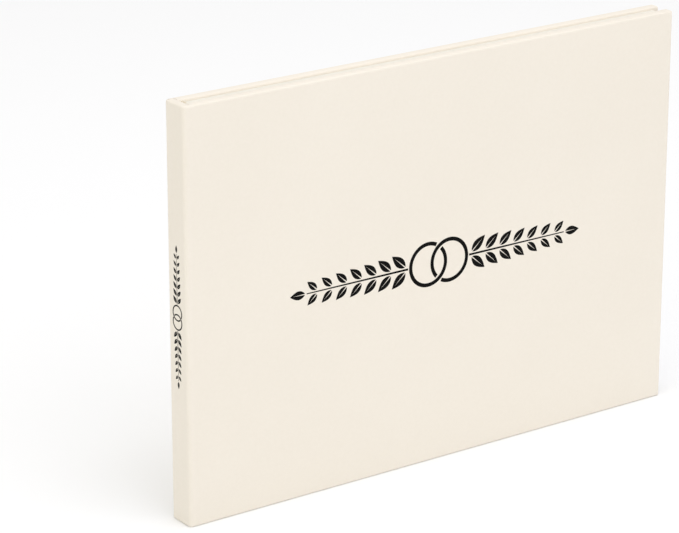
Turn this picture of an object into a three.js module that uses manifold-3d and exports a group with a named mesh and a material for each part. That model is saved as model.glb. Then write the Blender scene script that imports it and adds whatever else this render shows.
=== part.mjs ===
// A wedding guest book: a landscape case-bound book standing on its tail edge.
//
// Two cloth-covered boards and a square spine board make the case. Six sewn sections and two
// flyleaves make the text block, which hangs in the case by its mull and its pastedowns.
// Units are millimetres. +X runs from the spine to the fore edge, +Z from tail to head, and the
// front cover faces -Y. The origin is under the middle of the book, on the surface it stands on.

import * as THREE from 'three';
import { RoundedBoxGeometry } from 'three/addons/geometries/RoundedBoxGeometry.js';
import { mergeVertices } from 'three/addons/utils/BufferGeometryUtils.js';
import Module from 'manifold-3d';

const wasm = await Module();
wasm.setup();

// ---------------------------------------------------------------- driving dimensions

const BOOK_WIDTH = 217; // spine face to fore edge of the covers
const BOOK_HEIGHT = 154.5; // tail to head of the covers
const BOOK_THICKNESS = 12; // front cover face to back cover face

const BOARD_THICKNESS = 3; // greyboard of the two covers
const SPINE_BOARD_THICKNESS = 2; // greyboard strip in the spine
const CLOTH_THICKNESS = 0.45; // covering material, with its paper backing
const PAPER_SHEET = 0.2; // pastedown
const FLYLEAF_THICKNESS = 0.15;
const LAYER_GAP = 0.05; // room between two glued or stacked layers
const RUNNING_GAP = 0.2; // room between pieces that move apart

const TURN_IN = 15; // width of covering folded to the inside of a board
const SQUARE = 1; // how far the covers stand past the leaves at head and tail
const FORE_SQUARE = 3.3; // and at the fore edge
const COVER_EDGE_RADIUS = 0.8; // covering round a board's edge
const SPINE_CORNER_RADIUS = 1.6; // covering round the spine's two long corners

const SECTION_COUNT = 6; // half of them lie nearer the front cover
const GUTTER_DEPTH = 5.6; // glued back folds, which stay with the spine
const TAPE_COUNT = 3;
const TAPE_PITCH = BOOK_HEIGHT / 4;
const TAPE_WIDTH = 8;
const TAPE_THICKNESS = 0.25;
const MULL_THICKNESS = 0.15;
const MULL_WING = 25; // gauze glued to the inside of each board
const BAND_RADIUS = 0.42; // bead of the headband and the tailband
const BAND_TAB = 8; // its tab behind the leaves
const BEAD_SHARE = 0.85; // share of the bead's radius that stands in front of the tab
const FOIL_THICKNESS = 0.05;
const FOIL_LIFT = 0.01; // room between the foil and the floor of its hollow
const STAMP_DEPTH = 0.1; // how deep the foil is pressed into the cloth
const STAMP_MARGIN = 0.04; // pressed cloth round the foil's edge
const STITCH_FROM_END = 17; // from head and tail of the case to the kettle stitches

const FRONT_MOTIF = { length: 131, ringRadius: 8.6 }; // two linked rings between leafy sprigs
const SPINE_MOTIF = { length: 53, ringRadius: 3 };
const LEAF_PAIRS = 7; // on each sprig

// Proportions of a motif. Those of a ring and a sprig are shares of the ring's radius.
const RING_WIDTH = 0.17;
const RING_SHIFT = 0.56; // each ring's centre, from the middle
const STEM_WIDTH = 0.1;
const FIRST_LEAF = 1.02; // length of the leaf pair next to the rings
const LEAF_TAPER = 0.38; // how much shorter the leaves get along a sprig
const TIP_BULGE = 0.3;
const LEAF_BULGE = 0.4; // share of the leaf's length
const LEAF_WIDEST = 0.42; // share of the leaf's length
const LEAF_ANGLE = 0.72; // radians between leaf and stem
const LEAF_OFFSET = 0.1; // share of the pitch from which the leaves are counted
const STEM_OVERLAP = 1 / 3; // share of the pitch by which the stem runs into the tip leaf
const TIP_MARGIN = 3; // a sharp tip needs more than the margin along its axis
const SIDE_MARGIN = 4; // and so does the control point of its side

// How finely the round stretches are faceted, and how far a cutting tool overshoots.
const RING_STEPS = 12;
const LEAF_STEPS = 4;
const COVER_EDGE_STEPS = 2;
const SPINE_CORNER_STEPS = 4;
const BEAD_STEPS = 8;
const THREAD_SIDES = 8;
const OVERSHOOT = 1;

// ---------------------------------------------------------------- places worked out from them

const SPINE_FACE = -BOOK_WIDTH / 2;
const FORE_EDGE = BOOK_WIDTH / 2;
const FRONT_FACE = -BOOK_THICKNESS / 2;
const MID_HEIGHT = BOOK_HEIGHT / 2;

const BOARD_INSET = CLOTH_THICKNESS + LAYER_GAP;
const COVER_DEPTH = 2 * BOARD_INSET + BOARD_THICKNESS; // outer cloth, board and turn-in
const SPINE_DEPTH = 2 * BOARD_INSET + SPINE_BOARD_THICKNESS - LAYER_GAP;
const JOINT = SPINE_FACE + SPINE_DEPTH + RUNNING_GAP; // where a cover starts
const PASTEDOWN_FACE = COVER_DEPTH + LAYER_GAP + PAPER_SHEET; // from the cover's outer face
const BLOCK_THICKNESS = BOOK_THICKNESS - 2 * (PASTEDOWN_FACE + LAYER_GAP);

const LEAF_TAIL = SQUARE;
const LEAF_HEAD = BOOK_HEIGHT - SQUARE;
const LEAF_FORE_EDGE = FORE_EDGE - FORE_SQUARE;
const WINDOW_TAIL = TURN_IN; // the board's bare inside, between the turn-ins
const WINDOW_HEAD = BOOK_HEIGHT - TURN_IN;
const WINDOW_FORE_EDGE = FORE_EDGE - TURN_IN;

const LINING_X = JOINT + LAYER_GAP;
const MULL_X = LINING_X + PAPER_SHEET + LAYER_GAP;
const TAPE_X = MULL_X + MULL_THICKNESS + LAYER_GAP;
const GUTTER_X = TAPE_X + TAPE_THICKNESS + LAYER_GAP;
const LEAF_X = GUTTER_X + GUTTER_DEPTH + RUNNING_GAP;
const BACK_OF_BLOCK = BLOCK_THICKNESS - 2 * LAYER_GAP; // width of what is glued to the back

// ---------------------------------------------------------------- materials

function material(name, colour, roughness) {
  const color = new THREE.Color(colour);
  const result = new THREE.MeshStandardMaterial({ color, roughness, metalness: 0 });
  result.name = name;
  return result;
}

const cloth = () => material('ivory_cloth', '#f3ece0', 0.72);
const board = () => material('greyboard', '#a59a88', 0.95);
const paper = () => material('cream_paper', '#f8f4ea', 0.85);
const gauze = () => material('mull', '#e9e3d2', 0.9);
const tape = () => material('linen_tape', '#efe9da', 0.85);
const band = () => material('band_silk', '#f4efe2', 0.5);
const thread = () => material('linen_thread', '#ece5d4', 0.7);
const foil = () => material('black_foil', '#1b1a19', 0.35);

// ---------------------------------------------------------------- geometry helpers

// A box between two corners.
function slab([x0, y0, z0], [x1, y1, z1]) {
  const geometry = new THREE.BoxGeometry(x1 - x0, y1 - y0, z1 - z0);
  geometry.translate((x0 + x1) / 2, (y0 + y1) / 2, (z0 + z1) / 2);
  return geometry;
}

// An outline in the XY plane, made solid from Z = 0 up to its thickness.
function flat(outline, thickness, curveSegments) {
  return new THREE.ExtrudeGeometry(outline, { depth: thickness, bevelEnabled: false, curveSegments });
}

function toSolid(geometry) {
  const bare = geometry.clone();
  bare.deleteAttribute('normal');
  bare.deleteAttribute('uv');
  const merged = mergeVertices(bare, 1e-4);
  return new wasm.Manifold(new wasm.Mesh({
    numProp: 3,
    vertProperties: new Float32Array(merged.attributes.position.array),
    triVerts: new Uint32Array(merged.index.array),
  }));
}

function toGeometry(solid) {
  const mesh = solid.getMesh();
  const geometry = new THREE.BufferGeometry();
  geometry.setAttribute('position', new THREE.BufferAttribute(mesh.vertProperties, 3));
  geometry.setIndex(new THREE.BufferAttribute(mesh.triVerts, 1));
  geometry.computeVertexNormals();
  return geometry;
}

function cut(geometry, ...tools) {
  let solid = toSolid(geometry);
  for (const tool of tools) {
    solid = solid.subtract(toSolid(tool));
  }
  return toGeometry(solid);
}

function join(geometries) {
  const [first, ...rest] = geometries.map(toSolid);
  let whole = first;
  for (const solid of rest) {
    whole = whole.add(solid);
  }
  return toGeometry(whole);
}

function common(a, b) {
  return toGeometry(toSolid(a).intersect(toSolid(b)));
}

// The same piece on the other side of the book's middle plane.
function mirrored(geometry) {
  const result = geometry.clone();
  result.scale(1, -1, 1);
  const corners = result.index.array;
  for (let i = 0; i < corners.length; i += 3) {
    [corners[i], corners[i + 1]] = [corners[i + 1], corners[i]];
  }
  result.computeVertexNormals();
  return result;
}

const group = new THREE.Group();
group.name = 'wedding_guest_book';

function addPiece(name, geometry, finish, parent = group) {
  const mesh = new THREE.Mesh(geometry, finish);
  mesh.name = name;
  parent.add(mesh);
  return mesh;
}

// ---------------------------------------------------------------- the foil motifs

// A flat motif in the XY plane, centred on the origin and as long as it is told along X:
// two linked rings in the middle, and a stem with paired leaves to each side. Grown by a
// margin, the same outline is the hollow that the stamp presses.

function ring(x, radius, width, thickness, margin) {
  const outline = new THREE.Shape();
  outline.absarc(x, 0, radius + margin, 0, Math.PI * 2, false);
  const hole = new THREE.Path();
  hole.absarc(x, 0, radius - width - margin, 0, Math.PI * 2, true);
  outline.holes.push(hole);
  return flat(outline, thickness, RING_STEPS);
}

// A pointed leaf from its foot on the stem, turned by angle.
function leaf(foot, length, bulge, angle, thickness, margin) {
  const back = -TIP_MARGIN * margin;
  const tip = length + TIP_MARGIN * margin;
  const side = bulge + SIDE_MARGIN * margin;
  const widest = length * LEAF_WIDEST;
  const outline = new THREE.Shape();
  outline.moveTo(back, 0);
  outline.quadraticCurveTo(widest, side, tip, 0);
  outline.quadraticCurveTo(widest, -side, back, 0);
  const geometry = flat(outline, thickness, LEAF_STEPS);
  geometry.rotateZ(angle);
  geometry.translate(foot, 0, 0);
  return geometry;
}

// A stem along X with a leaf at its tip and pairs of leaves to both sides.
function sprig(side, start, length, ringRadius, thickness, margin) {
  const pitch = (length / 2 - start) / (LEAF_PAIRS + 1);
  const tipFoot = start + pitch * (LEAF_PAIRS - LEAF_OFFSET);
  const stemEnd = tipFoot + pitch * STEM_OVERLAP;
  const outward = side > 0 ? 0 : Math.PI;
  const stemWidth = ringRadius * STEM_WIDTH + 2 * margin;
  const stem = new THREE.BoxGeometry(stemEnd - start, stemWidth, thickness);
  stem.translate((side * (start + stemEnd)) / 2, 0, thickness / 2);
  const tip = leaf(side * tipFoot, length / 2 - tipFoot, ringRadius * TIP_BULGE, outward, thickness, margin);
  const pieces = [stem, tip];
  for (let i = 0; i < LEAF_PAIRS; i += 1) {
    const size = ringRadius * (FIRST_LEAF - (LEAF_TAPER * i) / LEAF_PAIRS);
    const foot = side * (start + pitch * (i + LEAF_OFFSET));
    for (const lean of [LEAF_ANGLE, -LEAF_ANGLE]) {
      pieces.push(leaf(foot, size, size * LEAF_BULGE, outward + side * lean, thickness, margin));
    }
  }
  return pieces;
}

function motif({ length, ringRadius }, thickness, margin) {
  const ringWidth = ringRadius * RING_WIDTH;
  const ringShift = ringRadius * RING_SHIFT;
  const stemStart = ringShift + ringRadius - ringWidth / 2;
  const pieces = [];
  for (const side of [-1, 1]) {
    pieces.push(ring(side * ringShift, ringRadius, ringWidth, thickness, margin));
    pieces.push(...sprig(side, stemStart, length, ringRadius, thickness, margin));
  }
  return join(pieces);
}

// Places a flat motif on the front cover, or on the spine running from tail to head.
function ontoFront(geometry, depth) {
  geometry.rotateX(Math.PI / 2);
  return geometry.translate(0, FRONT_FACE + depth, MID_HEIGHT);
}

function ontoSpine(geometry, depth) {
  geometry.rotateY(-Math.PI / 2);
  return geometry.translate(SPINE_FACE + depth, 0, MID_HEIGHT);
}

// The hollow starts above the cloth, and its floor is STAMP_DEPTH below the surface.
function stampHollow(size, onto) {
  return onto(motif(size, 2 * STAMP_DEPTH, STAMP_MARGIN), STAMP_DEPTH);
}

function foilMotif(size, onto) {
  return onto(motif(size, FOIL_THICKNESS, 0), STAMP_DEPTH - FOIL_LIFT);
}

// ---------------------------------------------------------------- the covers

// Every cover piece is drawn for the front cover; the back cover is its mirror image.

function coverBoard() {
  return slab(
    [JOINT + LAYER_GAP, FRONT_FACE + BOARD_INSET, BOARD_INSET],
    [FORE_EDGE - BOARD_INSET, FRONT_FACE + BOARD_INSET + BOARD_THICKNESS, BOOK_HEIGHT - BOARD_INSET],
  );
}

// The covering lies over the outer face and folds round three edges of the board.
function coverCloth() {
  const inner = FRONT_FACE + CLOTH_THICKNESS;
  const radius = COVER_EDGE_RADIUS;
  const wrapped = new RoundedBoxGeometry(BOOK_WIDTH, COVER_DEPTH, BOOK_HEIGHT, COVER_EDGE_STEPS, radius);
  wrapped.translate(0, FRONT_FACE + COVER_DEPTH / 2, MID_HEIGHT);
  const beyondJoint = slab(
    [JOINT, FRONT_FACE - OVERSHOOT, -OVERSHOOT],
    [FORE_EDGE + OVERSHOOT, 0, BOOK_HEIGHT + OVERSHOOT],
  );
  const boardSpace = slab(
    [JOINT - OVERSHOOT, inner, CLOTH_THICKNESS],
    [FORE_EDGE - CLOTH_THICKNESS, FRONT_FACE + COVER_DEPTH - CLOTH_THICKNESS, BOOK_HEIGHT - CLOTH_THICKNESS],
  );
  const window = slab([JOINT - OVERSHOOT, inner, WINDOW_TAIL], [WINDOW_FORE_EDGE, 0, WINDOW_HEAD]);
  return cut(common(wrapped, beyondJoint), boardSpace, window);
}

// The gauze wing glued to the board beside the joint.
function mullWing() {
  const face = FRONT_FACE + BOARD_INSET + BOARD_THICKNESS + LAYER_GAP;
  return slab(
    [JOINT + LAYER_GAP, face, WINDOW_TAIL + LAYER_GAP],
    [JOINT + MULL_WING, face + MULL_THICKNESS, WINDOW_HEAD - LAYER_GAP],
  );
}

// The pastedown covers the turn-ins, and sinks between them down to the board and the mull.
function pastedown() {
  const inner = FRONT_FACE + PASTEDOWN_FACE;
  const onBoard = FRONT_FACE + BOARD_INSET + BOARD_THICKNESS + LAYER_GAP;
  const onMull = onBoard + MULL_THICKNESS + LAYER_GAP;
  const sheet = slab(
    [JOINT + LAYER_GAP, inner - PAPER_SHEET, LEAF_TAIL],
    [LEAF_FORE_EDGE, inner, LEAF_HEAD],
  );
  const sunk = slab(
    [JOINT + MULL_WING + LAYER_GAP, onBoard, WINDOW_TAIL + LAYER_GAP],
    [WINDOW_FORE_EDGE - LAYER_GAP, inner - PAPER_SHEET / 2, WINDOW_HEAD - LAYER_GAP],
  );
  const overMull = slab(
    [JOINT + LAYER_GAP, onMull, WINDOW_TAIL + LAYER_GAP],
    [JOINT + MULL_WING + OVERSHOOT, inner - PAPER_SHEET / 2, WINDOW_HEAD - LAYER_GAP],
  );
  return join([sheet, sunk, overMull]);
}

for (const side of ['front', 'back']) {
  const place = side === 'front' ? (geometry) => geometry : mirrored;
  addPiece(`${side}_board`, place(coverBoard()), board());
  const covering = coverCloth();
  const pressed = side === 'front' ? cut(covering, stampHollow(FRONT_MOTIF, ontoFront)) : covering;
  addPiece(`${side}_cover_cloth`, place(pressed), cloth());
  addPiece(`${side}_mull_wing`, place(mullWing()), gauze());
  addPiece(`${side}_pastedown`, place(pastedown()), paper());
}

// ---------------------------------------------------------------- the spine

function spineBoard() {
  const halfWidth = BOOK_THICKNESS / 2 - BOARD_INSET;
  return slab(
    [SPINE_FACE + BOARD_INSET, -halfWidth, BOARD_INSET],
    [SPINE_FACE + BOARD_INSET + SPINE_BOARD_THICKNESS, halfWidth, BOOK_HEIGHT - BOARD_INSET],
  );
}

// The covering wraps the spine board's long edges and turns in at the head and the tail.
function spineCloth() {
  const half = BOOK_THICKNESS / 2;
  const radius = SPINE_CORNER_RADIUS;
  const outline = new THREE.Shape();
  outline.moveTo(SPINE_FACE + SPINE_DEPTH, -half);
  outline.lineTo(SPINE_FACE + SPINE_DEPTH, half);
  outline.lineTo(SPINE_FACE + radius, half);
  outline.absarc(SPINE_FACE + radius, half - radius, radius, Math.PI / 2, Math.PI, false);
  outline.lineTo(SPINE_FACE, -half + radius);
  outline.absarc(SPINE_FACE + radius, -half + radius, radius, Math.PI, Math.PI * 1.5, false);
  outline.closePath();
  const body = flat(outline, BOOK_HEIGHT, SPINE_CORNER_STEPS);
  const inside = half - CLOTH_THICKNESS;
  const boardEnd = SPINE_FACE + SPINE_DEPTH - CLOTH_THICKNESS;
  const boardSpace = slab(
    [SPINE_FACE + CLOTH_THICKNESS, -inside, CLOTH_THICKNESS],
    [boardEnd, inside, BOOK_HEIGHT - CLOTH_THICKNESS],
  );
  const window = slab(
    [boardEnd - OVERSHOOT, -inside, WINDOW_TAIL],
    [JOINT + OVERSHOOT, inside, WINDOW_HEAD],
  );
  return cut(body, boardSpace, window, stampHollow(SPINE_MOTIF, ontoSpine));
}

function backOfBlock(x, thickness, tail, head) {
  return slab([x, -BACK_OF_BLOCK / 2, tail], [x + thickness, BACK_OF_BLOCK / 2, head]);
}

function sewnGutter() {
  const half = BLOCK_THICKNESS / 2;
  return slab([GUTTER_X, -half, LEAF_TAIL], [GUTTER_X + GUTTER_DEPTH, half, LEAF_HEAD]);
}

// One thread knots section to section across the back, near the head and near the tail.
function kettleStitch() {
  const radius = TAPE_THICKNESS / 2;
  const geometry = new THREE.CylinderGeometry(radius, radius, BACK_OF_BLOCK, THREAD_SIDES);
  geometry.translate(TAPE_X + radius, 0, 0);
  return geometry;
}

// A silk-covered bead over the back folds, with a tab glued behind them.
function endBand() {
  const tabThickness = TAPE_THICKNESS;
  const centre = TAPE_X + tabThickness + BAND_RADIUS * BEAD_SHARE;
  const lean = Math.acos((TAPE_X + tabThickness - centre) / BAND_RADIUS);
  const rise = BAND_RADIUS + LAYER_GAP; // bead centre above the leaves' head
  const outline = new THREE.Shape();
  outline.moveTo(TAPE_X, -BAND_TAB);
  outline.lineTo(TAPE_X + tabThickness, -BAND_TAB);
  outline.absarc(centre, rise, BAND_RADIUS, -lean, lean, false);
  outline.lineTo(TAPE_X, rise + BAND_RADIUS * Math.sin(lean));
  outline.closePath();
  const geometry = flat(outline, BACK_OF_BLOCK, BEAD_STEPS);
  geometry.rotateX(Math.PI / 2);
  geometry.translate(0, BACK_OF_BLOCK / 2, 0);
  return geometry;
}

addPiece('spine_board', spineBoard(), board());
addPiece('spine_cloth', spineCloth(), cloth());
addPiece('spine_paper_lining', backOfBlock(LINING_X, PAPER_SHEET, WINDOW_TAIL, WINDOW_HEAD), paper());
addPiece('spine_mull', backOfBlock(MULL_X, MULL_THICKNESS, WINDOW_TAIL, WINDOW_HEAD), gauze());
addPiece('sewn_gutter', sewnGutter(), paper());

for (let i = 0; i < TAPE_COUNT; i += 1) {
  const middle = MID_HEIGHT + (i - (TAPE_COUNT - 1) / 2) * TAPE_PITCH;
  const strip = backOfBlock(TAPE_X, TAPE_THICKNESS, middle - TAPE_WIDTH / 2, middle + TAPE_WIDTH / 2);
  addPiece(`sewing_tape_${i + 1}`, strip, tape());
}

const tailStitch = addPiece('kettle_stitch_tail', kettleStitch(), thread());
tailStitch.position.z = STITCH_FROM_END;
const headStitch = addPiece('kettle_stitch_head', kettleStitch(), thread());
headStitch.position.z = BOOK_HEIGHT - STITCH_FROM_END;

const headband = addPiece('headband', endBand(), band());
headband.position.z = LEAF_HEAD;
const tailband = addPiece('tailband', endBand(), band());
tailband.position.z = LEAF_TAIL;
tailband.rotation.x = Math.PI;

// ---------------------------------------------------------------- the leaves

const stackedPieces = SECTION_COUNT + 2;
const gaps = (stackedPieces - 1) * LAYER_GAP;
const sectionThickness = (BLOCK_THICKNESS - 2 * FLYLEAF_THICKNESS - gaps) / SECTION_COUNT;

function leafPlate(thickness) {
  return slab([LEAF_X, 0, LEAF_TAIL], [LEAF_FORE_EDGE, thickness, LEAF_HEAD]);
}

let leafFace = -BLOCK_THICKNESS / 2;
for (let i = 0; i < stackedPieces; i += 1) {
  const isFlyleaf = i === 0 || i === stackedPieces - 1;
  const name = i === 0 ? 'front_flyleaf' : isFlyleaf ? 'back_flyleaf' : `section_${i}`;
  const thickness = isFlyleaf ? FLYLEAF_THICKNESS : sectionThickness;
  const leaves = addPiece(name, leafPlate(thickness), paper());
  leaves.position.y = leafFace;
  leafFace += thickness + LAYER_GAP;
}

// ---------------------------------------------------------------- the foil

addPiece('front_foil_motif', foilMotif(FRONT_MOTIF, ontoFront), foil());
addPiece('spine_foil_motif', foilMotif(SPINE_MOTIF, ontoSpine), foil());

export default group;
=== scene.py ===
"""A wedding guest book standing on its tail edge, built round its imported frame.

The ivory covering, the endpapers, the sewn leaves, the end bands and the stamped foil are made
here. The boards, the gauze, the lining, the tapes and the stitches are the frame's own pieces
with better materials. Lengths are in metres. +X runs from the spine to the fore edge, +Z from
tail to head, and the front cover faces -Y.
"""
import math
import random

import bmesh
import bpy
import numpy as np
from mathutils import Euler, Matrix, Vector

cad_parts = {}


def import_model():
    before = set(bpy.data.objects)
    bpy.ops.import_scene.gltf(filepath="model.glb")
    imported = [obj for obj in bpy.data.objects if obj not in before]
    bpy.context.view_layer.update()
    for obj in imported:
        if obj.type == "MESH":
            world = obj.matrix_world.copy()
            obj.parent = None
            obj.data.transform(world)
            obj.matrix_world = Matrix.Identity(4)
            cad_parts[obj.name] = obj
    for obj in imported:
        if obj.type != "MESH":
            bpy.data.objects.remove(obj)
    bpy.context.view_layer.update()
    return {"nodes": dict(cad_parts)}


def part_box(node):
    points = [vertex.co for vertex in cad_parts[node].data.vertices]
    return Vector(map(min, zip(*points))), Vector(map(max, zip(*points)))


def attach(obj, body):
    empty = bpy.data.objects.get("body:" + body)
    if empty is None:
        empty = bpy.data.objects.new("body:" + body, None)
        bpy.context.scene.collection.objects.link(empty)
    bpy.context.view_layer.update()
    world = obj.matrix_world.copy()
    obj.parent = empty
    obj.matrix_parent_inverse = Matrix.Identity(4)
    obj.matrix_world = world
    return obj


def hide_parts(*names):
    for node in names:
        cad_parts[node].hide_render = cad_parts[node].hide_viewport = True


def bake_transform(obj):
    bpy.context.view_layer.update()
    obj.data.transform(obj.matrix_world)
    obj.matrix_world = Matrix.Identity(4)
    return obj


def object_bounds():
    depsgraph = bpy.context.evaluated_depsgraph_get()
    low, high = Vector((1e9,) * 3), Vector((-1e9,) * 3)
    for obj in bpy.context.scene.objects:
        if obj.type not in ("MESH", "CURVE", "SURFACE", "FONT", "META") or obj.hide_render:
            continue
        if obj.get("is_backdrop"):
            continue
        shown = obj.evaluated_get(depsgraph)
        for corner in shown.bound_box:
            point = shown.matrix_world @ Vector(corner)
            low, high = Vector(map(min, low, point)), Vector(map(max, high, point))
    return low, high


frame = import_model()

MM = 0.001
random.seed(7)

# ------------------------------------------------------------------ camera

CAMERA_PLACE = (-0.6527, -0.8623, 0.4574)
CAMERA_HEADING = 35.4  # degrees from +Y towards +X
CAMERA_DOWN = 19.54  # degrees below the horizon
CAMERA_LENS = 166.9  # mm
CAMERA_SENSOR = 36  # mm wide


def make_camera():
    data = bpy.data.cameras.new("camera")
    data.lens = CAMERA_LENS
    data.sensor_width = CAMERA_SENSOR
    data.clip_end = 50
    camera = bpy.data.objects.new("camera", data)
    camera.location = CAMERA_PLACE
    turn = (math.radians(90 - CAMERA_DOWN), 0, math.radians(-CAMERA_HEADING))
    camera.rotation_euler = Euler(turn)
    bpy.context.scene.collection.objects.link(camera)
    bpy.context.scene.camera = camera


make_camera()

# ------------------------------------------------------------------ places from the frame

cloth_low, cloth_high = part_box("front_cover_cloth")
spine_low, spine_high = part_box("spine_cloth")
leaf_low, leaf_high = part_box("section_1")
gutter_low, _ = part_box("sewn_gutter")
_, paste_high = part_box("front_pastedown")

SPINE_FACE = spine_low.x
FORE_EDGE = cloth_high.x
WIDTH = FORE_EDGE - SPINE_FACE
HEAD = cloth_high.z
HALF_THICKNESS = -cloth_low.y
COVER_DEPTH = cloth_high.y - cloth_low.y
JOINT = cloth_low.x
SPINE_INNER = spine_high.x
LEAF_TAIL = leaf_low.z
LEAF_HEAD = leaf_high.z
LEAF_FORE_EDGE = leaf_high.x
GUTTER = gutter_low.x
MID_HEIGHT = HEAD / 2
COVERS = ((-1, "front"), (1, "back"))  # which way each cover lies along Y, and its name

CLOTH = 0.45 * MM  # thickness of the covering
PAPER = 0.2 * MM  # thickness of an endpaper
LEAF = 0.095 * MM  # thickness of a leaf
TURN_IN = 15 * MM
COVER_EDGE = 0.8 * MM  # radius of the covering over a board's edge
SPINE_CORNER = 1.6 * MM  # radius of the spine's long corners
HAIR = 0.02 * MM  # room between two pieces that lie together

# Where each kind of sheet starts and stops bending, measured from the spine face. The leaves
# that turn furthest bend in the shortest distance, so that no leaf crosses its neighbour.
ENDPAPER_BEND = (4.0 * MM, 7.0 * MM)
FLYLEAF_BEND = (6.5 * MM, 12 * MM)
SECTION_BENDS = [(6.5 * MM, end * MM) for end in (17, 24, 32)]  # from the covers inwards

# ------------------------------------------------------------------ materials


def new_material(name, roughness, **sockets):
    """A material with a Principled shader; returns it with its node tree and shader."""
    material = bpy.data.materials.new(name)
    material.use_nodes = True
    tree = material.node_tree
    shader = tree.nodes["Principled BSDF"]
    shader.inputs["Roughness"].default_value = roughness
    for socket, value in sockets.items():
        shader.inputs[socket.replace("_", " ")].default_value = value
    return material, tree, shader


def add_node(tree, kind, **settings):
    """A node with its settings, each an input's value or a property of the node."""
    node = tree.nodes.new(kind)
    for key, value in settings.items():
        if key in node.inputs:
            node.inputs[key].default_value = value
        else:
            setattr(node, key, value)
    return node


def object_coordinates(tree, scale=(1, 1, 1)):
    """Object coordinates, stretched by scale. Every mesh is drawn in place, in metres."""
    source = add_node(tree, "ShaderNodeTexCoord")
    mapping = add_node(tree, "ShaderNodeMapping")
    mapping.inputs["Scale"].default_value = scale
    tree.links.new(source.outputs["Object"], mapping.inputs["Vector"])
    return mapping.outputs["Vector"]


def noise(tree, vector, scale, detail=3.0, roughness=0.5):
    """Noise with about as many cells to the metre as its scale says."""
    node = add_node(tree, "ShaderNodeTexNoise", Scale=scale, Detail=detail, Roughness=roughness)
    tree.links.new(vector, node.inputs["Vector"])
    return node.outputs["Fac"]


def colour_between(tree, factor, dark, light, low=0.3, high=0.7):
    """The dark colour up to where the factor is low, the light one from where it is high."""
    ramp = add_node(tree, "ShaderNodeValToRGB")
    ramp.color_ramp.elements[0].position = low
    ramp.color_ramp.elements[1].position = high
    ramp.color_ramp.elements[0].color = (*dark, 1)
    ramp.color_ramp.elements[1].color = (*light, 1)
    tree.links.new(factor, ramp.inputs["Fac"])
    return ramp.outputs["Color"]


def range_between(tree, factor, low, high):
    node = add_node(tree, "ShaderNodeMapRange")
    node.inputs["To Min"].default_value = low
    node.inputs["To Max"].default_value = high
    tree.links.new(factor, node.inputs["Value"])
    return node.outputs["Result"]


def combine(tree, kind, a, b):
    """A Math node of the given kind on a socket and a second socket or a number."""
    node = add_node(tree, "ShaderNodeMath", operation=kind)
    tree.links.new(a, node.inputs[0])
    if isinstance(b, bpy.types.NodeSocket):
        tree.links.new(b, node.inputs[1])
    else:
        node.inputs[1].default_value = b
    return node.outputs["Value"]


def bump(tree, shader, height, distance, strength=1.0):
    node = add_node(tree, "ShaderNodeBump", Strength=strength, Distance=distance)
    tree.links.new(height, node.inputs["Height"])
    tree.links.new(node.outputs["Normal"], shader.inputs["Normal"])


def ivory_cloth():
    """Matt ivory leathercloth: a fine close grain, and a faint unevenness of tone."""
    material, tree, shader = new_material(
        "ivory_cloth", 0.6, Specular_IOR_Level=0.35, Sheen_Weight=0.06, Sheen_Roughness=0.5)
    vector = object_coordinates(tree)
    tone = combine(tree, "ADD", noise(tree, vector, 14, 3), noise(tree, vector, 700, 4, 0.7))
    tone = combine(tree, "MULTIPLY", tone, 0.5)
    dark, light = (0.859, 0.804, 0.718), (0.883, 0.829, 0.745)
    colour = colour_between(tree, tone, dark, light, 0.35, 0.65)
    tree.links.new(colour, shader.inputs["Base Color"])
    cells = add_node(tree, "ShaderNodeTexVoronoi", Scale=2600.0, feature="SMOOTH_F1")
    tree.links.new(vector, cells.inputs["Vector"])
    grain = combine(tree, "MULTIPLY", cells.outputs["Distance"], 0.7)
    fine = noise(tree, vector, 5200, 3)
    height = combine(tree, "ADD", grain, fine)
    bump(tree, shader, height, 0.012 * MM)
    rough = range_between(tree, noise(tree, vector, 900, 2), 0.54, 0.68)
    tree.links.new(rough, shader.inputs["Roughness"])
    return material


def cream_paper():
    """Uncoated paper: long soft fibres in its tone, and a fine tooth."""
    material, tree, shader = new_material("cream_paper", 0.85, Specular_IOR_Level=0.2)
    vector = object_coordinates(tree, (1, 1, 2.5))
    tone = noise(tree, vector, 420, 5, 0.65)
    colour = colour_between(tree, tone, (0.885, 0.855, 0.785), (0.920, 0.895, 0.830))
    tree.links.new(colour, shader.inputs["Base Color"])
    bump(tree, shader, noise(tree, vector, 3200, 4), 0.008 * MM)
    return material


def greyboard():
    """Raw binder's board, flecked with pulped paper."""
    material, tree, shader = new_material("greyboard", 0.95, Specular_IOR_Level=0.1)
    vector = object_coordinates(tree, (1, 3, 1))
    flecks = noise(tree, vector, 900, 6, 0.75)
    colour = colour_between(tree, flecks, (0.24, 0.21, 0.165), (0.44, 0.39, 0.31))
    tree.links.new(colour, shader.inputs["Base Color"])
    bump(tree, shader, flecks, 0.05 * MM)
    return material


def woven(name, pitch, dark, light, along, across):
    """Plain weave of one thread pitch, its threads along two of the axes."""
    material, tree, shader = new_material(name, 0.9, Specular_IOR_Level=0.15, Sheen_Weight=0.1)
    source = add_node(tree, "ShaderNodeTexCoord")
    parts = add_node(tree, "ShaderNodeSeparateXYZ")
    tree.links.new(source.outputs["Object"], parts.inputs["Vector"])
    ribs = []
    for axis in (along, across):
        turns = combine(tree, "MULTIPLY", parts.outputs[axis], 2 * math.pi / pitch)
        wave = add_node(tree, "ShaderNodeMath", operation="SINE")
        tree.links.new(turns, wave.inputs[0])
        ribs.append(wave.outputs["Value"])
    weave = range_between(tree, combine(tree, "MULTIPLY", *ribs), 0.0, 1.0)
    tree.links.new(colour_between(tree, weave, dark, light), shader.inputs["Base Color"])
    bump(tree, shader, weave, pitch * 0.15)
    return material


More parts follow.
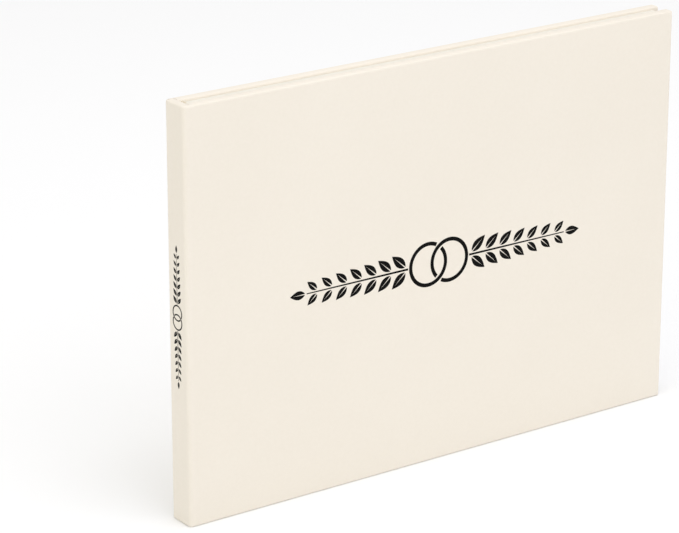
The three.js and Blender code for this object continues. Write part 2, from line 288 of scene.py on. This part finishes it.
def band_silk():
    """Silk wound round the bead of an end band, in ivory and honey turns."""
    material, tree, shader = new_material("band_silk", 0.42, Sheen_Weight=0.3)
    vector = object_coordinates(tree)
    wave = add_node(tree, "ShaderNodeTexWave", Scale=330.0, Distortion=0.3, bands_direction="Y")
    tree.links.new(vector, wave.inputs["Vector"])
    honey, ivory = (0.72, 0.60, 0.40), (0.90, 0.86, 0.76)
    colour = colour_between(tree, wave.outputs["Fac"], honey, ivory, 0.45, 0.55)
    tree.links.new(colour, shader.inputs["Base Color"])
    bump(tree, shader, noise(tree, vector, 5000, 2), 0.01 * MM)
    return material


def linen_thread():
    """Linen thread, its twist shown by slanting bands."""
    material, tree, shader = new_material("linen_thread", 0.6, Sheen_Weight=0.2)
    vector = object_coordinates(tree)
    wave = add_node(
        tree, "ShaderNodeTexWave", Scale=900.0, Distortion=1.0, bands_direction="DIAGONAL")
    tree.links.new(vector, wave.inputs["Vector"])
    colour = colour_between(tree, wave.outputs["Fac"], (0.60, 0.54, 0.42), (0.84, 0.79, 0.67))
    tree.links.new(colour, shader.inputs["Base Color"])
    bump(tree, shader, wave.outputs["Fac"], 0.03 * MM)
    return material


def black_foil():
    """Hot-stamped black pigment foil: it takes the cloth's grain, so its gloss breaks up."""
    material, tree, shader = new_material("black_foil", 0.4, Specular_IOR_Level=0.06)
    vector = object_coordinates(tree)
    tone = noise(tree, vector, 1500, 4, 0.6)
    colour = colour_between(tree, tone, (0.0015, 0.0015, 0.0015), (0.004, 0.0038, 0.0036))
    tree.links.new(colour, shader.inputs["Base Color"])
    rough = range_between(tree, noise(tree, vector, 2600, 2), 0.34, 0.5)
    tree.links.new(rough, shader.inputs["Roughness"])
    bump(tree, shader, noise(tree, vector, 2600, 3), 0.006 * MM)
    return material


GAUZE_TONES = ((0.55, 0.50, 0.40), (0.85, 0.80, 0.68))
TAPE_TONES = ((0.70, 0.66, 0.55), (0.90, 0.86, 0.76))
X, Y, Z = range(3)

CLOTH_MATERIAL = ivory_cloth()
PAPER_MATERIAL = cream_paper()
BOARD_MATERIAL = greyboard()
FOIL_MATERIAL = black_foil()
SILK_MATERIAL = band_silk()
THREAD_MATERIAL = linen_thread()
GAUZE_ON_BOARD = woven("mull_wing", 0.9 * MM, *GAUZE_TONES, X, Z)
GAUZE_ON_SPINE = woven("mull_spine", 0.9 * MM, *GAUZE_TONES, Y, Z)
TAPE_MATERIAL = woven("linen_tape", 0.5 * MM, *TAPE_TONES, Y, Z)

# ------------------------------------------------------------------ mesh helpers

SHARP = math.radians(35)  # edges that turn by more are shaded as corners
WELD = 1e-7


def mesh_object(name, vertices, faces, material, weld=True):
    """A mesh with smooth faces and sharp corners. Welding joins the points that coincide."""
    mesh = bpy.data.meshes.new(name)
    mesh.from_pydata([tuple(v) for v in vertices], [], faces)
    work = bmesh.new()
    work.from_mesh(mesh)
    if weld:
        bmesh.ops.remove_doubles(work, verts=work.verts, dist=WELD)
    bmesh.ops.recalc_face_normals(work, faces=work.faces)
    mark_edges(work)
    work.to_mesh(mesh)
    work.free()
    piece = bpy.data.objects.new(name, mesh)
    bpy.context.scene.collection.objects.link(piece)
    mesh.materials.append(material)
    return piece


def mark_edges(work):
    work.normal_update()
    for face in work.faces:
        face.smooth = True
    for edge in work.edges:
        turned = len(edge.link_faces) == 2 and edge.calc_face_angle(0) > SHARP
        edge.smooth = not turned


def grid_faces(rows, columns, first=0, wrap=False):
    """Quads of a grid whose points run column by column along each row."""
    faces = []
    for i in range(rows - 1):
        for j in range(columns - 1 + wrap):
            k = (j + 1) % columns
            faces.append((first + i * columns + j, first + i * columns + k,
                          first + (i + 1) * columns + k, first + (i + 1) * columns + j))
    return faces


def arc(centre, radius, start, stop, steps):
    """Points of an arc, angles in degrees, both ends included."""
    angles = [math.radians(start + (stop - start) * i / steps) for i in range(steps + 1)]
    return [(centre[0] + radius * math.cos(a), centre[1] + radius * math.sin(a)) for a in angles]


def spread(start, stop, steps):
    """Evenly spaced values, both ends included."""
    return [start + (stop - start) * i / steps for i in range(steps + 1)]


def strip_solid(path, thickness, levels):
    """A sheet that follows a path in plan and stands from the first to the last level."""
    points = np.array(path)
    tangents = np.gradient(points, axis=0)
    tangents /= np.linalg.norm(tangents, axis=1)[:, None]
    normals = np.stack([-tangents[:, 1], tangents[:, 0]], axis=1)
    left = points + normals * thickness / 2
    right = points - normals * thickness / 2
    loop = np.concatenate([left, right[::-1]])
    vertices = [(x, y, z) for z in levels for x, y in loop]
    columns = len(loop)
    faces = grid_faces(len(levels), columns, wrap=True)
    half = len(points)
    top = (len(levels) - 1) * columns
    for j in range(half - 1):
        faces.append((j, j + 1, columns - 2 - j, columns - 1 - j))
        faces.append(tuple(top + k for k in (columns - 1 - j, columns - 2 - j, j + 1, j)))
    return vertices, faces


def merge(parts):
    """Several (vertices, faces) joined as separate islands of one mesh."""
    vertices, faces = [], []
    for some_vertices, some_faces in parts:
        first = len(vertices)
        vertices.extend(some_vertices)
        faces.extend(tuple(first + k for k in face) for face in some_faces)
    return vertices, faces


def in_frame(points, side):
    """From (distance from the spine face, depth below the cover's face, height) to the frame."""
    return [(SPINE_FACE + u, side * (HALF_THICKNESS - d), z) for u, d, z in points]


# ------------------------------------------------------------------ the covering

EDGE_STEPS = 4  # faces over half of a board's edge
BOARD_STEPS = 12  # and from the joint to the turn-in at the fore edge
HEIGHT_STEPS = 8  # and between the turn-ins at tail and head
HALF_SPINE_STEPS = 6  # and from the spine's middle to its corner
CORNER_STEPS = 12  # and round that corner
HINGE_STEPS = 4  # and from the corner to the start of the cover


def edge_lines(low, high, radius, breaks=(), round_low=True):
    """Places of the grid lines along one side of a rounded box, closer together at its edges."""
    near = []
    for i in range(EDGE_STEPS, -1, -1):
        near.append(radius * (1 - math.tan(math.radians(45 * i / EDGE_STEPS))))
    first = [low + n for n in near] if round_low else [low]
    last = [high - n for n in reversed(near)]
    return first + list(breaks) + last


def rounded(point, low, high, radius):
    """Moves a point of a box's surface onto the same box with rounded edges.

    The box stays open and square at its low end along the first axis, which is the joint.
    """
    inner = []
    for axis in range(3):
        least = low[axis] + radius if axis else low[axis]
        inner.append(min(max(point[axis], least), high[axis] - radius))
    away = [p - q for p, q in zip(point, inner)]
    length = math.sqrt(sum(a * a for a in away))
    return tuple(q + a * radius / length for q, a in zip(inner, away))


def cover_skin(z_lines):
    """The outer skin of a covered board: its face, three edges and the turned-in margin."""
    start = JOINT - SPINE_FACE
    low, high = (start, 0, 0), (WIDTH, COVER_DEPTH, HEAD)
    window = (WIDTH - TURN_IN, TURN_IN, HEAD - TURN_IN)
    across_board = spread(start, window[0], BOARD_STEPS)[1:]
    u_lines = edge_lines(start, WIDTH, COVER_EDGE, across_board, round_low=False)
    d_lines = edge_lines(0, COVER_DEPTH, COVER_EDGE)
    parts = []

    def add_face(first_lines, second_lines, place, keep=lambda a, b: True):
        for i in range(len(first_lines) - 1):
            for j in range(len(second_lines) - 1):
                a = (first_lines[i], first_lines[i + 1])
                b = (second_lines[j], second_lines[j + 1])
                if keep(sum(a) / 2, sum(b) / 2):
                    corners = [(a[0], b[0]), (a[1], b[0]), (a[1], b[1]), (a[0], b[1])]
                    skin = [rounded(place(*corner), low, high, COVER_EDGE) for corner in corners]
                    parts.append((skin, [(0, 1, 2, 3)]))

    add_face(u_lines, z_lines, lambda u, z: (u, 0, z))
    add_face(u_lines, z_lines, lambda u, z: (u, COVER_DEPTH, z),
             lambda u, z: u > window[0] or z < window[1] or z > window[2])
    add_face(u_lines, d_lines, lambda u, d: (u, d, 0))
    add_face(u_lines, d_lines, lambda u, d: (u, d, HEAD))
    add_face(d_lines, z_lines, lambda d, z: (WIDTH, d, z))
    return merge(parts)


def joint_skin(z_lines):
    """The covering from the middle of the spine round its corner to the start of the cover."""
    radius = SPINE_CORNER
    # Points in plan, each with the direction into the spine from there.
    plan = [((0, d), (1, 0)) for d in spread(HALF_THICKNESS, radius, HALF_SPINE_STEPS)[:-1]]
    for u, d in arc((radius, radius), radius, 180, 270, CORNER_STEPS):
        plan.append(((u, d), ((radius - u) / radius, (radius - d) / radius)))
    plan += [((u, 0), (0, 1)) for u in spread(radius, JOINT - SPINE_FACE, HINGE_STEPS)[1:]]
    # From tail to head: how far the covering has drawn in, and its height.
    section = []
    quarter = arc((0, 0), COVER_EDGE, 0, 90, 2 * EDGE_STEPS)
    for across, along in reversed(quarter):
        section.append((COVER_EDGE - across, COVER_EDGE - along))
    past_edge = COVER_EDGE * 1.01
    section += [(0, z) for z in z_lines if past_edge < z < HEAD - past_edge]
    for across, along in quarter:
        section.append((COVER_EDGE - across, HEAD - COVER_EDGE + along))
    vertices = []
    for (u, d), (nu, nd) in plan:
        vertices += [(u + nu * depth, d + nd * depth, z) for depth, z in section]
    return vertices, grid_faces(len(plan), len(section))


def covering(name, side):
    """One cover's cloth and half of the spine's, as one sheet with its thickness."""
    z_lines = edge_lines(0, HEAD, COVER_EDGE, spread(TURN_IN, HEAD - TURN_IN, HEIGHT_STEPS))
    vertices, faces = merge([cover_skin(z_lines), joint_skin(z_lines)])
    piece = mesh_object(name, in_frame(vertices, side), faces, CLOTH_MATERIAL)
    outward = max(piece.data.polygons, key=lambda face: face.area)
    if outward.normal.y * side < 0:
        piece.data.flip_normals()
    thicken(piece, CLOTH)
    return piece


def thicken(piece, thickness):
    """Gives a skin its thickness, inwards from the surface, and leaves no modifier on it."""
    solidify = piece.modifiers.new("thickness", "SOLIDIFY")
    solidify.thickness = thickness
    solidify.offset = -1
    solidify.use_even_offset = True
    evaluated = piece.evaluated_get(bpy.context.evaluated_depsgraph_get())
    mesh = bpy.data.meshes.new_from_object(evaluated)
    piece.modifiers.clear()
    piece.data = mesh
    work = bmesh.new()
    work.from_mesh(mesh)
    mark_edges(work)
    work.to_mesh(mesh)
    work.free()


for side, place in COVERS:
    piece = covering(place + "_covering", side)
    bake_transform(piece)
    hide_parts(place + "_cover_cloth")

# ------------------------------------------------------------------ the spine's core

CORE_CORNER_STEPS = 6  # round one of its long corners
CORE_STEPS = 6  # between the turn-ins


def spine_core():
    """The spine board in its turned-in cloth: rounded corners, and ends that dip under the hem."""
    inset = CLOTH + 2.5 * HAIR  # from the spine's outer skin
    chamfer = 3 * HAIR
    radius = SPINE_CORNER - inset
    half = HALF_THICKNESS - inset
    inner = SPINE_INNER - SPINE_FACE
    outline = arc((SPINE_CORNER, half - radius), radius, 180, 90, CORE_CORNER_STEPS)
    outline += [(inner - chamfer, half), (inner, half - chamfer)]
    outline += [(x, -y) for x, y in reversed(outline)]
    hem = COVER_EDGE + 2 * HAIR - inset  # how far the core draws in to clear the hem
    # Heights above the tail, and how far the core has drawn in there.
    ends = [(0, hem + 4 * HAIR), (4 * HAIR, hem), (CLOTH + 3 * HAIR, hem), (COVER_EDGE + 3 * HAIR, 0)]
    levels = ends + [(z, 0) for z in spread(TURN_IN, HEAD - TURN_IN, CORE_STEPS)]
    levels += [(HEAD - z, shrink) for z, shrink in reversed(ends)]
    vertices = []
    for z, shrink in levels:
        for u, y in outline:
            moved_u = min(u + shrink, inner) if u < inner / 2 else u
            moved_y = math.copysign(max(abs(y) - shrink, 0), y)
            vertices.append((SPINE_FACE + moved_u, moved_y, z))
    columns = len(outline)
    faces = grid_faces(len(levels), columns, wrap=True)
    faces += [tuple(range(columns)), tuple((len(levels) - 1) * columns + k for k in range(columns))]
    return mesh_object("spine_core", vertices, faces, CLOTH_MATERIAL, weld=False)


core = spine_core()
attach(core, "spine")
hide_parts("spine_cloth", "spine_board")

# ------------------------------------------------------------------ endpapers and leaves

SINK = 0.25 * MM  # how far a pastedown sinks between the turn-ins
SINK_WIDTH = 1.2 * MM  # of the step where it sinks
TRIM = 0.12 * MM  # the most that a sheet is cut shorter than its neighbours
SHEET_LEVELS = 4  # faces over a sheet's height
LEAVES_IN_SECTION = 4
FOLD_STEPS = 6  # round the fold of a sheet
BEND_STEPS = 48
END_CROWDING = 0.5  # 0 spaces the steps evenly, 1 lets them meet at the ends


def leaf_columns(start, bend, stop, flat_steps=8):
    """Places along a sheet, from its fold to its fore edge, close together where it bends.

    A turned sheet curves most at the two ends of its bend, so they are closest there.
    """
    first = SPINE_FACE + bend[0]
    last = SPINE_FACE + bend[1]
    bent = []
    for t in spread(0, 1, BEND_STEPS)[:-1]:
        share = t - END_CROWDING * math.sin(2 * math.pi * t) / (2 * math.pi)
        bent.append(first + (last - first) * share)
    return [*spread(start, first, 2)[:-1], *bent, *spread(last, stop, flat_steps)]


def pastedown(name, side):
    """The endpaper glued inside a cover. It shows the turn-ins under it as a low step."""
    depth = paste_high.y - cloth_low.y
    fold = GUTTER + 2 * HAIR
    edge_u, edge_z = WIDTH - TURN_IN, TURN_IN
    columns_x = leaf_columns(fold, ENDPAPER_BEND, paste_high.x - TURN_IN, flat_steps=10)
    us = [x - SPINE_FACE for x in columns_x if x - SPINE_FACE < edge_u - 2 * SINK_WIDTH]
    us += spread(edge_u - SINK_WIDTH, edge_u, 4)
    us += spread(edge_u, paste_high.x - SPINE_FACE, 3)[1:]
    margin = [*spread(LEAF_TAIL, edge_z, 3)[:-1], *spread(edge_z, edge_z + SINK_WIDTH, 4)[:-1]]
    middle = spread(edge_z + SINK_WIDTH, HEAD - edge_z - SINK_WIDTH, 8)
    zs = [*margin, *middle, *(HEAD - z for z in reversed(margin))]

    def sunk(u, z):
        inside = min(edge_u - u, z - edge_z, HEAD - edge_z - z) / SINK_WIDTH
        t = min(max(inside, 0), 1)
        return SINK * t * t * (3 - 2 * t)

    vertices = []
    for side_depth in (depth, depth - PAPER):
        for u in us:
            vertices += in_frame([(u, side_depth - sunk(u, z), z) for z in zs], side)
    rows, columns = len(us), len(zs)
    count = rows * columns
    faces = grid_faces(rows, columns) + [tuple(reversed(f)) for f in grid_faces(rows, columns, count)]
    rim = [i * columns for i in range(rows)]
    rim += [(rows - 1) * columns + j for j in range(1, columns)]
    rim += [i * columns + columns - 1 for i in range(rows - 2, -1, -1)]
    rim += range(columns - 2, 0, -1)
    for a, b in zip(rim, rim[1:] + rim[:1]):
        faces.append((a, b, b + count, a + count))
    return mesh_object(name, vertices, faces, PAPER_MATERIAL, weld=False)


def flyleaf(name, node, bend):
    """A single leaf, from its gutter to its fore edge."""
    low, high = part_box(node)
    middle = (low.y + high.y) / 2
    path = [(x, middle) for x in leaf_columns(GUTTER, bend, LEAF_FORE_EDGE)]
    levels = spread(LEAF_TAIL, LEAF_HEAD, SHEET_LEVELS)
    vertices, faces = strip_solid(path, high.y - low.y - HAIR, levels)
    return mesh_object(name, vertices, faces, PAPER_MATERIAL, weld=False)


def folded_sheet(near, far, fold_x, bend, trim):
    """Two leaves that are one sheet, folded round fold_x at the back."""
    radius = (far - near) / 2
    centre = (fold_x, (near + far) / 2)
    columns = leaf_columns(fold_x, bend, LEAF_FORE_EDGE - trim)
    leg = [(x, near) for x in reversed(columns)]
    fold = arc(centre, radius, 270, 90, FOLD_STEPS)[1:-1]
    path = leg + fold + [(x, far) for x in columns]
    return strip_solid(path, LEAF, spread(LEAF_TAIL + trim / 2, LEAF_HEAD - trim / 2, SHEET_LEVELS))


def section(name, node, bend):
    """Two sheets folded together: four leaves, trimmed by hand and so not quite level."""
    low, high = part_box(node)
    pitch = (high.y - low.y) / LEAVES_IN_SECTION
    depths = [low.y + pitch * (i + 0.5) for i in range(LEAVES_IN_SECTION)]
    fold_x = GUTTER + (depths[3] - depths[0] + LEAF) / 2  # the outer fold reaches the gutter
    outer = folded_sheet(depths[0], depths[3], fold_x, bend, random.uniform(0, TRIM))
    inner = folded_sheet(depths[1], depths[2], fold_x, bend, random.uniform(0, TRIM))
    vertices, faces = merge([outer, inner])
    return mesh_object(name, vertices, faces, PAPER_MATERIAL, weld=False)


for side, place in COVERS:
    piece = pastedown(place + "_endpaper", side)
    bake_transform(piece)
    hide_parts(place + "_pastedown")

sections = sorted(node for node in frame["nodes"] if node.startswith("section_"))
leaves = ["front_flyleaf", *sections, "back_flyleaf"]
for i, node in enumerate(leaves):
    from_cover = min(i, len(leaves) - 1 - i)
    if from_cover:
        bend = SECTION_BENDS[from_cover - 1]
        piece = section(node + "_sheets", node, bend)
    else:
        bend = FLYLEAF_BEND
        piece = flyleaf(node + "_sheet", node, bend)
    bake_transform(piece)
    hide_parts(node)
    if node == sections[0]:
        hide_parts("sewn_gutter")

# ------------------------------------------------------------------ end bands

BEAD_SHARE = 0.86  # of the band's depth that the bead takes up
BAND_TURNS = 9  # of silk round the bead
TURN_STEPS = 12  # along the bead, for each turn
BEAD_SIDES = 20
GROOVE = 0.07  # between two turns, as a share of the bead's radius
END_RADIUS = 0.55  # of the bead's two ends, as a share of its radius
END_SLOPE = 12  # how fast it fills out from there, in radii over the bead's length
TAB_THICKNESS = 6 * HAIR


def end_band(name, node, up):
    """A silk bead wound with raised turns of thread, and the tab that holds it."""
    low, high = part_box(node)
    radius = (high.x - low.x) / 2 * BEAD_SHARE
    bead_x = high.x - radius
    bead_z = (high.z - radius) if up else (low.z + radius)
    rows, columns = TURN_STEPS * BAND_TURNS + 1, BEAD_SIDES
    vertices = []
    for i in range(rows):
        share = i / (rows - 1)
        y = low.y + (high.y - low.y) * share
        rise = 1 - GROOVE * (1 + math.cos(2 * math.pi * BAND_TURNS * share)) / 2
        rise *= min(1, END_RADIUS + END_SLOPE * min(share, 1 - share))
        for j in range(columns):
            angle = 2 * math.pi * j / columns
            x = bead_x + radius * rise * math.cos(angle)
            vertices.append((x, y, bead_z + radius * rise * math.sin(angle)))
    faces = grid_faces(rows, columns, wrap=True)
    faces += [tuple(range(columns)), tuple((rows - 1) * columns + k for k in range(columns))]
    tab_low, tab_high = (low.z, bead_z) if up else (bead_z, high.z)
    tab_x = low.x + HAIR + TAB_THICKNESS / 2
    path = [(tab_x, y) for y in spread(low.y, high.y, 12)]
    tab = strip_solid(path, TAB_THICKNESS, spread(tab_low, tab_high, 10))
    vertices, faces = merge([(vertices, faces), tab])
    return mesh_object(name, vertices, faces, SILK_MATERIAL, weld=False)


for name, node, up in (("headband_silk", "headband", True), ("tailband_silk", "tailband", False)):
    piece = end_band(name, node, up)
    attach(piece, "spine")
    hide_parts(node)

# ------------------------------------------------------------------ the stamped motif

# Two linked rings between two sprigs of paired leaves. The motif is drawn flat, centred on
# (0, 0) and along its first axis, as outlines that never touch, and each becomes a thin plate.

FOIL = 0.03 * MM
FOIL_LIFT = HAIR / 10
LEAF_PAIRS = 7  # on each sprig

# Shares of a ring's radius.
RING_WIDTH = 0.17
RING_SHIFT = 0.56  # each ring's centre, from the middle
STEM_WIDTH = 0.09
STEM_GAP = 0.05  # between ring and stem
TIP_BULGE = 0.36
FIRST_LEAF = 1.02  # length of the leaf pair next to the rings
LEAF_TAPER = 0.38  # how much shorter the leaves get along a sprig

# Shares of a leaf's length.
LEAF_BULGE = 0.4
LEAF_FOOT = 0.1  # left open beside the stem
RIB_END = 0.86  # where the slit along the rib ends

# Shares of the stem's width.
LEAF_RIB = 0.55  # width of the slit at the leaf's foot
TIP_RIB = 0.5  # and of the one in the leaf at the sprig's tip
LEAF_LIFT = 0.62  # from the stem's middle to a leaf's foot

CROSSING_GAP = 0.95  # share of a ring's width that it breaks off short of the other
LEAF_OFFSET = 0.1  # share of the pitch from which the leaves are counted
LEAF_ANGLE = 0.72  # radians between leaf and stem
LEAF_SKEW = 0.82  # below 1 moves a leaf's widest place towards its foot
LEAF_STEPS = 12
RING_STEP = 4  # degrees between the points of a ring


def ring_piece(centre, radius, width, start, stop):
    """A broken ring: its band from one angle to another, in degrees."""
    steps = int((stop - start) / RING_STEP)
    outer = arc((centre, 0), radius, start, stop, steps)
    return outer + arc((centre, 0), radius - width, stop, start, steps)


def linked_rings(radius, width):
    """Each ring passes under the other once, and breaks off just short of it there."""
    shift = radius * RING_SHIFT
    middle = radius - width / 2
    crossing = math.degrees(math.acos(shift / middle))
    gap = math.degrees(width * CROSSING_GAP / middle)
    left = ring_piece(-shift, radius, width, crossing + gap, crossing - gap + 360)
    right_cross = 180 + crossing
    right = ring_piece(shift, radius, width, right_cross + gap, right_cross - gap + 360)
    return [left, right]


def turned(points, foot, angle):
    """Points turned by an angle about the origin, which then moves to the foot."""
    c, s = math.cos(angle), math.sin(angle)
    return [(foot[0] + x * c - y * s, foot[1] + x * s + y * c) for x, y in points]


def leaf_outline(length, bulge, rib):
    """A pointed leaf, slit along its rib from the foot to near the tip."""
    start = length * LEAF_FOOT
    edge = []
    for t in spread(0, 1, LEAF_STEPS):
        swell = math.sin(math.pi * t ** LEAF_SKEW) * bulge / 2
        edge.append((start + (length - start) * t, swell + rib * (1 - t) / 2))
    mirror = [(x, -y) for x, y in reversed(edge[:-1])]
    return edge + mirror + [(length * RIB_END, 0)]


def sprig(start, end, radius, side, fullness):
    """A tapering stem with paired leaves and a leaf at its tip, to one side of the rings."""
    pitch = (end - start) / (LEAF_PAIRS + 1)
    tip_foot = start + pitch * (LEAF_PAIRS - LEAF_OFFSET)
    outward = 0 if side > 0 else math.pi
    width = radius * STEM_WIDTH
    gap = radius * STEM_GAP
    stem = [(side * (start + gap), width / 2), (side * tip_foot, width / 4),
            (side * tip_foot, -width / 4), (side * (start + gap), -width / 2)]
    outlines = [stem]
    tip_leaf = leaf_outline(end - tip_foot, radius * TIP_BULGE, width * TIP_RIB)
    outlines.append(turned(tip_leaf, (side * tip_foot, 0), outward))
    for i in range(LEAF_PAIRS):
        size = radius * fullness * (FIRST_LEAF - LEAF_TAPER * i / LEAF_PAIRS)
        foot = side * (start + pitch * (i + LEAF_OFFSET) + gap)
        for lean in (LEAF_ANGLE, -LEAF_ANGLE):
            base = (foot, math.copysign(width * LEAF_LIFT, lean))
            leaf = leaf_outline(size, size * LEAF_BULGE, width * LEAF_RIB)
            outlines.append(turned(leaf, base, outward + side * lean))
    return outlines


def motif_outlines(length, radius, fullness):
    """The whole motif. A fullness above 1 lengthens the leaves on the sprigs."""
    start = radius * RING_SHIFT + radius
    outlines = linked_rings(radius, radius * RING_WIDTH)
    for side in (-1, 1):
        outlines += sprig(start, length / 2, radius, side, fullness)
    return outlines


def plates(outlines, place):
    """Each outline as a closed plate of the foil's thickness, just above the cloth."""
    work = bmesh.new()
    for outline in outlines:
        bottom = [work.verts.new(place(x, y, FOIL_LIFT)) for x, y in outline]
        top = [work.verts.new(place(x, y, FOIL_LIFT + FOIL)) for x, y in outline]
        work.faces.new(bottom)
        work.faces.new(top)
        for i in range(len(outline)):
            work.faces.new((bottom[i - 1], bottom[i], top[i], top[i - 1]))
    work.normal_update()
    bmesh.ops.triangulate(work, faces=[f for f in work.faces if len(f.verts) > 4])
    bmesh.ops.recalc_face_normals(work, faces=work.faces)
    for edge in work.edges:
        edge.smooth = False
    mesh = bpy.data.meshes.new("motif")
    work.to_mesh(mesh)
    work.free()
    return mesh


def foil_piece(name, node, body, outlines, place):
    """A motif's plates as one piece; place takes a point of the motif to the frame."""
    mesh = plates(outlines, place)
    mesh.materials.append(FOIL_MATERIAL)
    piece = bpy.data.objects.new(name, mesh)
    bpy.context.scene.collection.objects.link(piece)
    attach(piece, body)
    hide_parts(node)


low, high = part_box("front_foil_motif")
foil_piece("front_foil", "front_foil_motif", "front_cover",
           motif_outlines(high.x - low.x, (high.z - low.z) / 2, fullness=1.0),
           lambda x, y, h: (x, -HALF_THICKNESS - h, MID_HEIGHT + y))
low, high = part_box("spine_foil_motif")
foil_piece("spine_foil", "spine_foil_motif", "spine",
           motif_outlines(high.z - low.z, (high.y - low.y) / 2, fullness=1.12),
           lambda x, y, h: (SPINE_FACE - h, y, MID_HEIGHT + x))

# ------------------------------------------------------------------ the frame's own pieces


def finish_node(node, material):
    """Gives a node of the frame a better material."""
    data = frame["nodes"][node].data
    data.materials.clear()
    data.materials.append(material)


for _, place in COVERS:
    finish_node(place + "_board", BOARD_MATERIAL)
    finish_node(place + "_mull_wing", GAUZE_ON_BOARD)
finish_node("spine_paper_lining", PAPER_MATERIAL)
finish_node("spine_mull", GAUZE_ON_SPINE)
for node in frame["nodes"]:
    if node.startswith("sewing_tape"):
        finish_node(node, TAPE_MATERIAL)
    if node.startswith("kettle_stitch"):
        finish_node(node, THREAD_MATERIAL)

# ------------------------------------------------------------------ floor and light

FLOOR_HALF = 6  # half of the floor's width


def floor():
    """A plain pale floor."""
    material, tree, shader = new_material("floor", 0.9, Specular_IOR_Level=0.0)
    vector = object_coordinates(tree)
    tone = noise(tree, vector, 3, 2)
    colour = colour_between(tree, tone, (0.950, 0.962, 0.980), (0.955, 0.967, 0.985))
    tree.links.new(colour, shader.inputs["Base Color"])
    corners = [(x * FLOOR_HALF, y * FLOOR_HALF, 0) for x, y in ((-1, -1), (1, -1), (1, 1), (-1, 1))]
    plane = mesh_object("floor", corners, [(0, 1, 2, 3)], material)
    plane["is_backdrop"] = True


def area_light(name, place, target, size, power, colour):
    """A round soft box that the camera doesn't see."""
    data = bpy.data.lights.new(name, "AREA")
    data.shape = "DISK"
    data.size = size
    data.energy = power
    data.color = colour
    light = bpy.data.objects.new(name, data)
    light.location = place
    light.visible_camera = False
    light.rotation_euler = (Vector(target) - Vector(place)).to_track_quat("-Z", "Y").to_euler()
    bpy.context.scene.collection.objects.link(light)


def world(colour, strength):
    """Even light from all round."""
    sky = bpy.data.worlds.new("studio")
    sky.use_nodes = True
    background = sky.node_tree.nodes["Background"]
    background.inputs["Color"].default_value = (*colour, 1)
    background.inputs["Strength"].default_value = strength
    bpy.context.scene.world = sky


floor()
world(colour=(1.0, 0.975, 0.925), strength=0.675)
area_light("top_front", place=(0.2, -1.6, 2.2), target=(0, 0, 0.05),
           size=2.4, power=16, colour=(1, 1.01, 1.08))
area_light("top", place=(0.1, -0.1, 2.6), target=(0, 0, 0),
           size=2.2, power=16, colour=(1, 1.02, 1.12))
area_light("left", place=(-2.0, -0.9, 1.6), target=(0, 0, 0.05),
           size=2.0, power=9, colour=(1, 0.96, 0.76))
bpy.context.scene.view_settings.view_transform = "Standard"

low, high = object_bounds()
